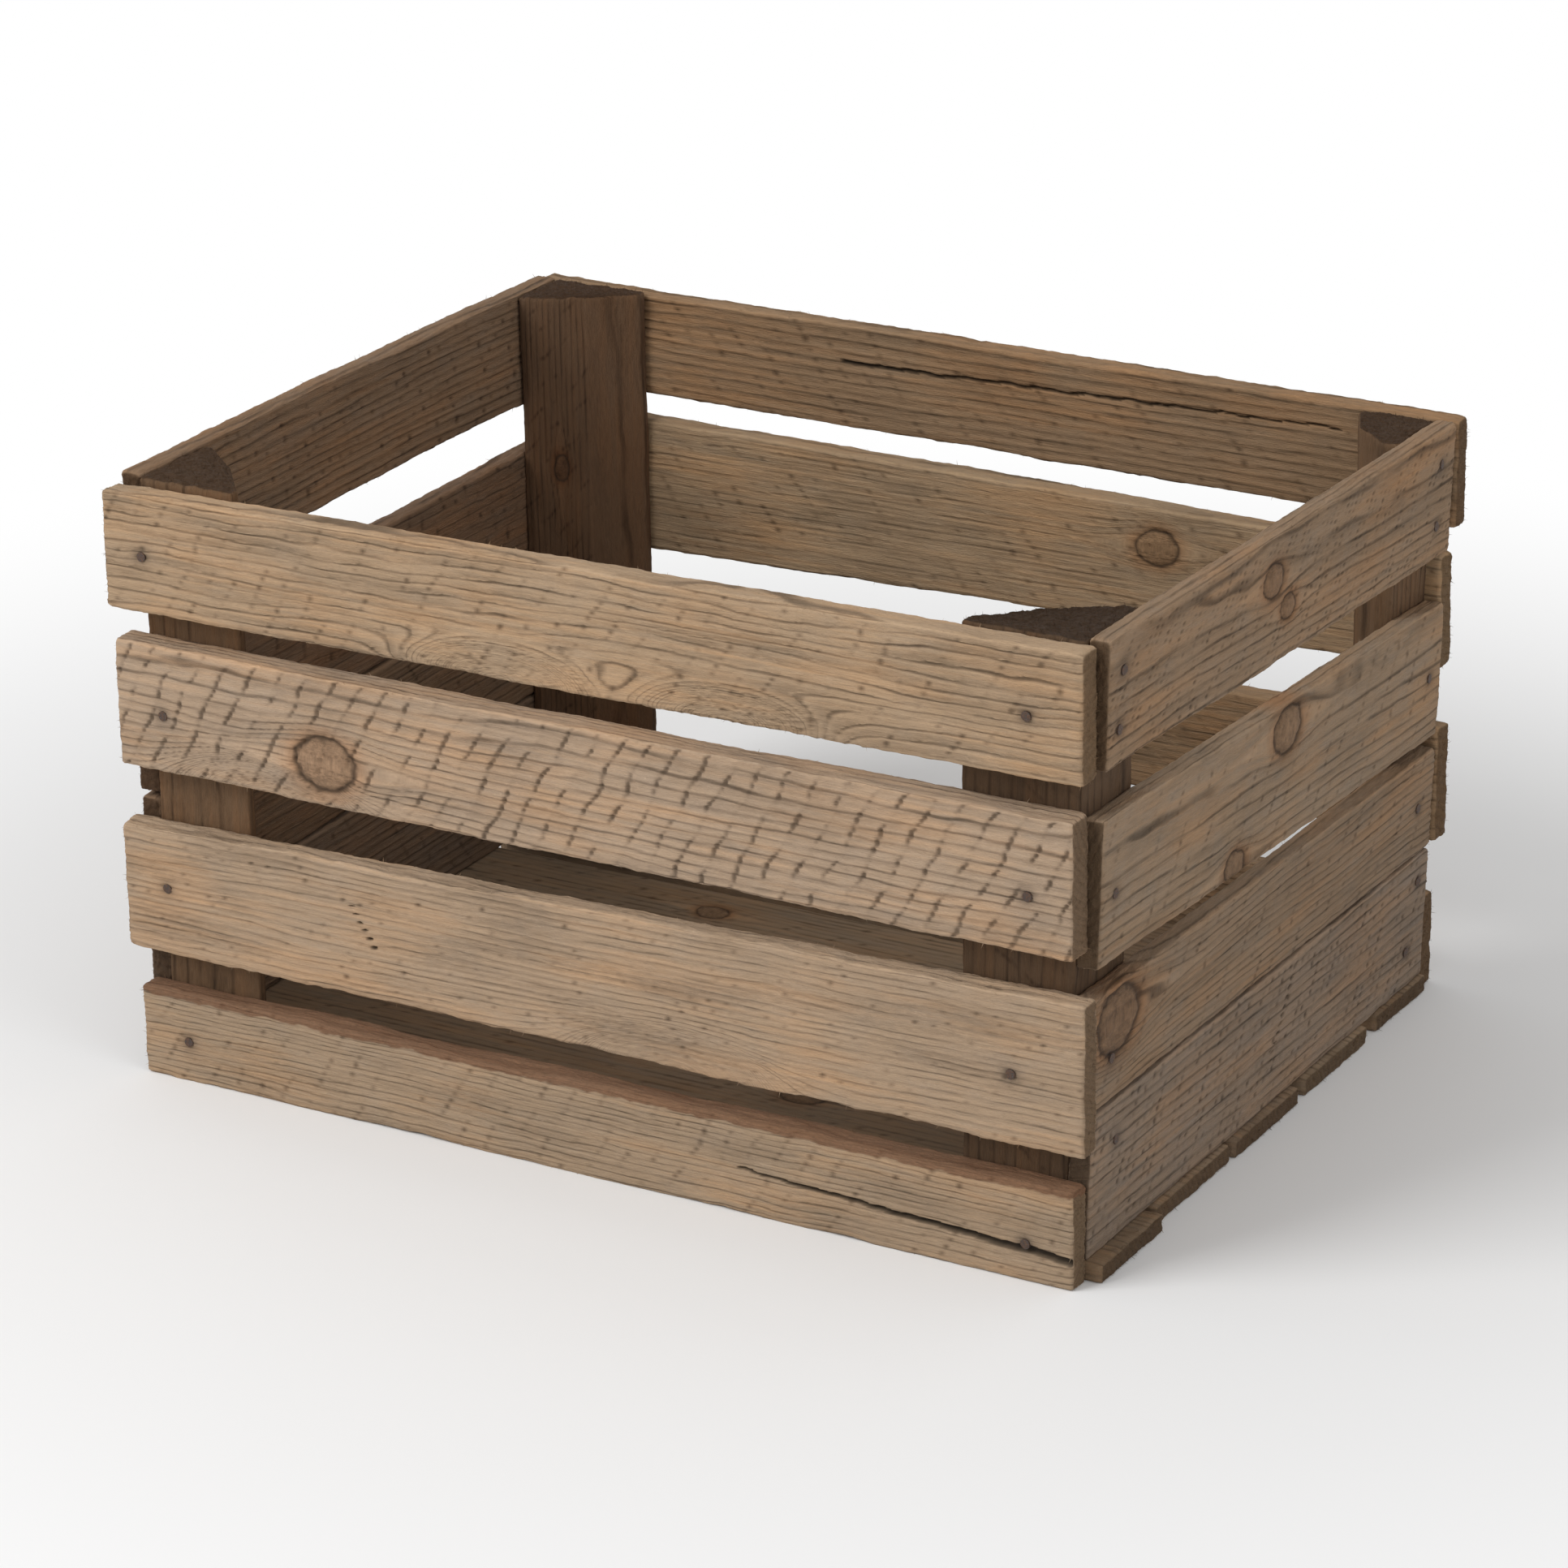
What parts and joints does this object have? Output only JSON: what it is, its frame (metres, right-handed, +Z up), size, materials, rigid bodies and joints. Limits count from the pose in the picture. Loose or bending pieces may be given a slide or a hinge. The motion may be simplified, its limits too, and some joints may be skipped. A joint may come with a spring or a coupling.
{
  "type": "slatted wooden crate",
  "caption": "Open-topped slatted wooden crate: wall slats nailed to corner posts over a boarded floor, for carrying and storing fruit.",
  "frame": {"origin": "on the ground, under the middle of the crate", "axes": "+X along the front to the right, +Y towards the back, +Z up"},
  "size_m": [0.51, 0.384, 0.296],
  "materials": {
    "front_wood": "rough-sawn pine, weathered tan",
    "back_wood": "rough-sawn pine, weathered brown",
    "side_wood": "rough-sawn pine, weathered grey-brown",
    "post_wood": "rough-sawn pine, dark brown",
    "floor_wood": "rough-sawn pine, dirty grey-brown",
    "nail_iron": "dull rusty iron"
  },
  "bodies": {
    "root": {"front_slat_1": "front_wood", "front_slat_2": "front_wood", "front_slat_3": "front_wood", "front_slat_4": "front_wood", "back_slat_1": "back_wood", "back_slat_2": "back_wood", "back_slat_3": "back_wood", "back_slat_4": "back_wood", "left_slat_1": "side_wood", "left_slat_2": "side_wood", "left_slat_3": "side_wood", "left_slat_4": "side_wood", "right_slat_1": "side_wood", "right_slat_2": "side_wood", "right_slat_3": "side_wood", "right_slat_4": "side_wood", "post_front_left": "post_wood", "post_front_right": "post_wood", "post_back_left": "post_wood", "post_back_right": "post_wood", "bottom_board_1": "floor_wood", "bottom_board_2": "floor_wood", "bottom_board_3": "floor_wood", "bottom_board_4": "floor_wood", "bottom_board_5": "floor_wood", "front_nails": "nail_iron", "back_nails": "nail_iron", "left_nails": "nail_iron", "right_nails": "nail_iron", "bottom_nails": "nail_iron"}
  },
  "joints": []
}
